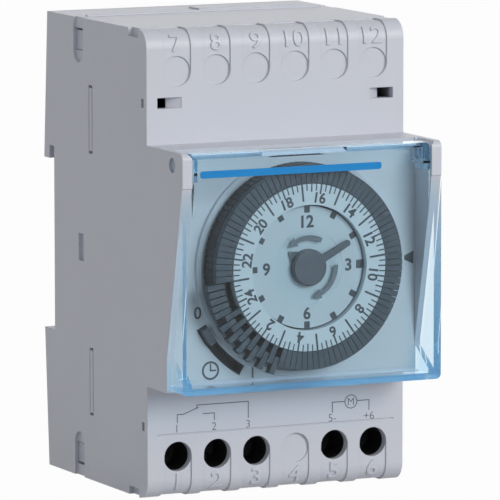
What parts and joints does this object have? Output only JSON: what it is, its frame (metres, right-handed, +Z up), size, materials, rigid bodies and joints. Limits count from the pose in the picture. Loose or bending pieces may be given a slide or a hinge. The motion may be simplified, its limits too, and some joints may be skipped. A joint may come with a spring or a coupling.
{
  "type": "programmable timer",
  "caption": "Rail-mounted analogue time switch: clear hinged cover, 24-hour dial with push-out tappets, clock hands, override slider and screw terminals",
  "frame": {"origin": "centre of the rail seat: in the plane of the face that lies on the rail, on the rail's centreline and half way across the width", "axes": "X across the width, -Y out of the dial towards the user, +Z up"},
  "size_m": [0.053, 0.0633, 0.0879],
  "materials": {
    "casing": "light grey moulding, fine satin",
    "base": "light grey moulding",
    "clip": "dark grey moulding",
    "spring_steel": "drawn wire",
    "dial_plate": "light grey moulding with dark printing",
    "clear_cover": "clear plastic with a faint blue tint",
    "slider": "dark grey moulding",
    "drum": "near-black moulding",
    "ring": "pale printed ring",
    "tappet": "dark grey moulding",
    "face": "pale printed face",
    "hand": "dark grey moulding",
    "clear_disc": "clear moulding with printed arrows",
    "brass": "stamped and cut brass",
    "acetal": "natural moulding resin",
    "steel": "turned steel",
    "stator_steel": "laminated sheet",
    "bobbin": "black moulding",
    "winding": "enamelled copper wire",
    "board": "green circuit board",
    "can": "plated can",
    "capacitor": "shrink sleeve",
    "chip": "moulded packages",
    "switch_body": "dark moulding",
    "contact": "stamped copper alloy",
    "blade": "spring bronze",
    "screw": "zinc-plated screw",
    "cage": "plated steel cage",
    "guide": "black moulding",
    "shroud": "black moulding"
  },
  "bodies": {
    "housing": {"front_casing": "casing", "rear_base": "base", "face_plate": "dial_plate", "clock_face": "face", "front_movement_plate": "acetal", "rear_movement_plate": "acetal", "movement_pillars": "steel", "stator": "stator_steel", "coil_bobbin": "bobbin", "coil_winding": "winding", "circuit_board": "board", "quartz_can": "can", "capacitor": "capacitor", "board_chips": "chip", "switch_frame": "switch_body", "common_bar": "contact", "break_contact": "contact", "make_contact": "contact", "supply_bars": "contact", "override_guide": "guide", "terminal_shroud": "shroud"},
    "clip": {"rail_clip": "clip", "clip_spring": "spring_steel"},
    "cover": {"cover": "clear_cover"},
    "override": {"override_slider": "slider"},
    "dial": {"tappet_drum": "drum", "hour_ring": "ring", "tappets_in": "tappet", "tappets_out": "tappet"},
    "tappet_1": {"tappet_1": "tappet"},
    "tappet_2": {"tappet_2": "tappet"},
    "tappet_3": {"tappet_3": "tappet"},
    "tappet_4": {"tappet_4": "tappet"},
    "tappet_5": {"tappet_5": "tappet"},
    "tappet_6": {"tappet_6": "tappet"},
    "tappet_7": {"tappet_7": "tappet"},
    "hour": {"hour_hand": "hand", "hour_wheel": "brass"},
    "minute": {"minute_hand": "hand", "setting_disc": "clear_disc", "minute_arbor": "steel"},
    "minute_wheel": {"minute_wheel": "brass"},
    "idler": {"dial_idler": "acetal"},
    "centre_wheel": {"centre_wheel": "brass"},
    "third_wheel": {"third_wheel": "brass"},
    "seconds_wheel": {"seconds_wheel": "acetal"},
    "first_wheel": {"first_wheel": "acetal"},
    "rotor": {"rotor": "bobbin"},
    "feeler": {"feeler_shaft": "acetal"},
    "blade": {"moving_blade": "blade"},
    "screw_1": {"terminal_screw_1": "screw"},
    "screw_2": {"terminal_screw_2": "screw"},
    "screw_3": {"terminal_screw_3": "screw"},
    "screw_5": {"terminal_screw_5": "screw"},
    "screw_6": {"terminal_screw_6": "screw"},
    "cage_1": {"clamp_cage_1": "cage"},
    "cage_2": {"clamp_cage_2": "cage"},
    "cage_3": {"clamp_cage_3": "cage"},
    "cage_5": {"clamp_cage_5": "cage"},
    "cage_6": {"clamp_cage_6": "cage"}
  },
  "joints": [
    {"name": "cover_hinge", "type": "hinge", "parent": "housing", "child": "cover", "pos_m": [0, -0.0541, 0.0195], "axis": [-1, 0, 0], "range_deg": [0, 95]},
    {"name": "rail_clip_slide", "type": "slide", "parent": "housing", "child": "clip", "axis": [0, 0, -1], "range_m": [0, 0.004], "stiffness_N_per_m": 600, "springref_m": -0.0015, "deforming": ["clip_spring"]},
    {"name": "override_turn", "type": "hinge", "parent": "housing", "child": "override", "pos_m": [0, -0.0514, -0.0005], "axis": [0, -1, 0], "range_deg": [0, 19.6]},
    {"name": "dial_turn", "type": "hinge", "parent": "housing", "child": "dial", "pos_m": [0, -0.0535, -0.0005], "axis": [0, -1, 0], "continuous": true},
    {"name": "tappet_1_push", "type": "slide", "parent": "dial", "child": "tappet_1", "axis": [-0.9214, 0, -0.3887], "range_m": [-0.0018, 0]},
    {"name": "tappet_2_push", "type": "slide", "parent": "dial", "child": "tappet_2", "axis": [-0.894, 0, -0.4481], "range_m": [0, 0.0018]},
    {"name": "tappet_3_push", "type": "slide", "parent": "dial", "child": "tappet_3", "axis": [-0.8627, 0, -0.5057], "range_m": [-0.0018, 0]},
    {"name": "tappet_4_push", "type": "slide", "parent": "dial", "child": "tappet_4", "axis": [-0.8278, 0, -0.561], "range_m": [0, 0.0018]},
    {"name": "tappet_5_push", "type": "slide", "parent": "dial", "child": "tappet_5", "axis": [-0.7894, 0, -0.6139], "range_m": [-0.0018, 0]},
    {"name": "tappet_6_push", "type": "slide", "parent": "dial", "child": "tappet_6", "axis": [-0.7475, 0, -0.6643], "range_m": [0, 0.0018]},
    {"name": "tappet_7_push", "type": "slide", "parent": "dial", "child": "tappet_7", "axis": [-0.7025, 0, -0.7117], "range_m": [-0.0018, 0]},
    {"name": "hour_turn", "type": "hinge", "parent": "housing", "child": "hour", "pos_m": [0, -0.05, -0.0005], "axis": [0, -1, 0], "continuous": true},
    {"name": "minute_turn", "type": "hinge", "parent": "housing", "child": "minute", "pos_m": [0, -0.05, -0.0005], "axis": [0, -1, 0], "continuous": true},
    {"name": "minute_wheel_turn", "type": "hinge", "parent": "housing", "child": "minute_wheel", "pos_m": [0, -0.044, 0.0075], "axis": [0, -1, 0], "continuous": true},
    {"name": "idler_turn", "type": "hinge", "parent": "housing", "child": "idler", "pos_m": [-0.00693, -0.047, -0.0045], "axis": [0, -1, 0], "continuous": true},
    {"name": "seconds_turn", "type": "hinge", "parent": "housing", "child": "seconds_wheel", "pos_m": [0.0128, -0.041, -0.0027], "axis": [0, -1, 0], "continuous": true},
    {"name": "first_turn", "type": "hinge", "parent": "housing", "child": "first_wheel", "pos_m": [0.01353, -0.041, -0.01107], "axis": [0, -1, 0], "continuous": true},
    {"name": "rotor_turn", "type": "hinge", "parent": "housing", "child": "rotor", "pos_m": [0.00633, -0.041, -0.01107], "axis": [0, -1, 0], "continuous": true},
    {"name": "third_turn", "type": "hinge", "parent": "housing", "child": "third_wheel", "pos_m": [0.00827, -0.041, 0.00644], "axis": [0, -1, 0], "continuous": true},
    {"name": "centre_turn", "type": "hinge", "parent": "housing", "child": "centre_wheel", "pos_m": [0, -0.041, -0.0005], "axis": [0, -1, 0], "continuous": true},
    {"name": "feeler_rock", "type": "hinge", "parent": "housing", "child": "feeler", "pos_m": [-0.0205, -0.038, -0.004], "axis": [0, -1, 0], "range_deg": [0, 10]},
    {"name": "blade_rock", "type": "hinge", "parent": "housing", "child": "blade", "pos_m": [-0.0193, -0.029, -0.024], "axis": [0, -1, 0], "range_deg": [-9, 0]},
    {"name": "cage_1_lift", "type": "slide", "parent": "housing", "child": "cage_1", "axis": [0, -1, 0], "range_m": [0, 0.0024]},
    {"name": "screw_1_turn", "type": "hinge", "parent": "housing", "child": "screw_1", "pos_m": [-0.02025, -0.033, -0.0365], "axis": [0, -1, 0], "range_deg": [-1440, 0]},
    {"name": "cage_2_lift", "type": "slide", "parent": "housing", "child": "cage_2", "axis": [0, -1, 0], "range_m": [0, 0.0024]},
    {"name": "screw_2_turn", "type": "hinge", "parent": "housing", "child": "screw_2", "pos_m": [-0.01215, -0.033, -0.0365], "axis": [0, -1, 0], "range_deg": [-1440, 0]},
    {"name": "cage_3_lift", "type": "slide", "parent": "housing", "child": "cage_3", "axis": [0, -1, 0], "range_m": [0, 0.0024]},
    {"name": "screw_3_turn", "type": "hinge", "parent": "housing", "child": "screw_3", "pos_m": [-0.00405, -0.033, -0.0365], "axis": [0, -1, 0], "range_deg": [-1440, 0]},
    {"name": "cage_5_lift", "type": "slide", "parent": "housing", "child": "cage_5", "axis": [0, -1, 0], "range_m": [0, 0.0024]},
    {"name": "screw_5_turn", "type": "hinge", "parent": "housing", "child": "screw_5", "pos_m": [0.01215, -0.033, -0.0365], "axis": [0, -1, 0], "range_deg": [-1440, 0]},
    {"name": "cage_6_lift", "type": "slide", "parent": "housing", "child": "cage_6", "axis": [0, -1, 0], "range_m": [0, 0.0024]},
    {"name": "screw_6_turn", "type": "hinge", "parent": "housing", "child": "screw_6", "pos_m": [0.02025, -0.033, -0.0365], "axis": [0, -1, 0], "range_deg": [-1440, 0]}
  ],
  "couplings": [
    {"joint": "hour_turn", "follows": "dial_turn", "ratio": 2},
    {"joint": "minute_turn", "follows": "dial_turn", "ratio": 24},
    {"joint": "minute_wheel_turn", "follows": "dial_turn", "ratio": -8},
    {"joint": "idler_turn", "follows": "dial_turn", "ratio": -3},
    {"joint": "first_turn", "follows": "seconds_turn", "ratio": -6},
    {"joint": "rotor_turn", "follows": "seconds_turn", "ratio": 30},
    {"joint": "third_turn", "follows": "seconds_turn", "ratio": -0.13333},
    {"joint": "centre_turn", "follows": "seconds_turn", "ratio": 0.016667},
    {"joint": "feeler_rock", "follows": "blade_rock", "ratio": -1.1111},
    {"joint": "screw_1_turn", "follows": "cage_1_lift", "rad_per_m": -10472},
    {"joint": "screw_2_turn", "follows": "cage_2_lift", "rad_per_m": -10472},
    {"joint": "screw_3_turn", "follows": "cage_3_lift", "rad_per_m": -10472},
    {"joint": "screw_5_turn", "follows": "cage_5_lift", "rad_per_m": -10472},
    {"joint": "screw_6_turn", "follows": "cage_6_lift", "rad_per_m": -10472}
  ]
}
